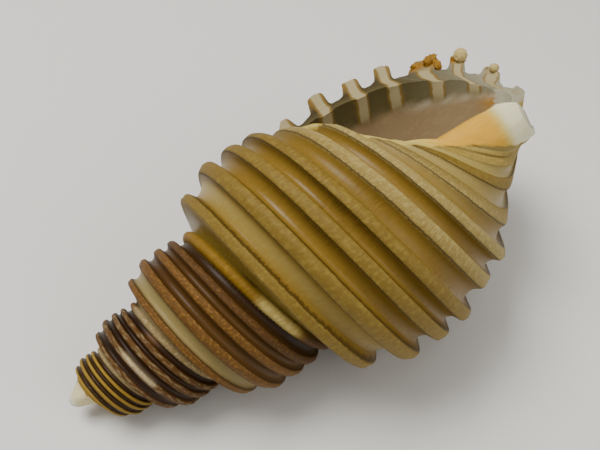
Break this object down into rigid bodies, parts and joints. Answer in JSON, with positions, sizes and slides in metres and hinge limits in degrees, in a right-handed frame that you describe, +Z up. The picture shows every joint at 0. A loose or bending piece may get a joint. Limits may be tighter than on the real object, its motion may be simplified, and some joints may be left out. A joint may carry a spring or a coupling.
{
  "type": "ribbed whelk shell",
  "caption": "Ribbed whelk shell with a tall worn spire, strong spiral ribs, an open aperture with a toothed lip and a short siphonal canal, lying on its body whorl.",
  "frame": {"origin": "on the floor under the middle of the lying shell", "axes": "+X from the apex to the siphonal canal, level with the floor; +Y to the outer lip's side; +Z up, with the aperture open upward"},
  "size_m": [0.0844, 0.0486, 0.0393],
  "materials": {
    "shell": "satin, brown and tan, chalky at the worn apex"
  },
  "bodies": {
    "root": {"whelk_shell": "shell"}
  },
  "joints": []
}
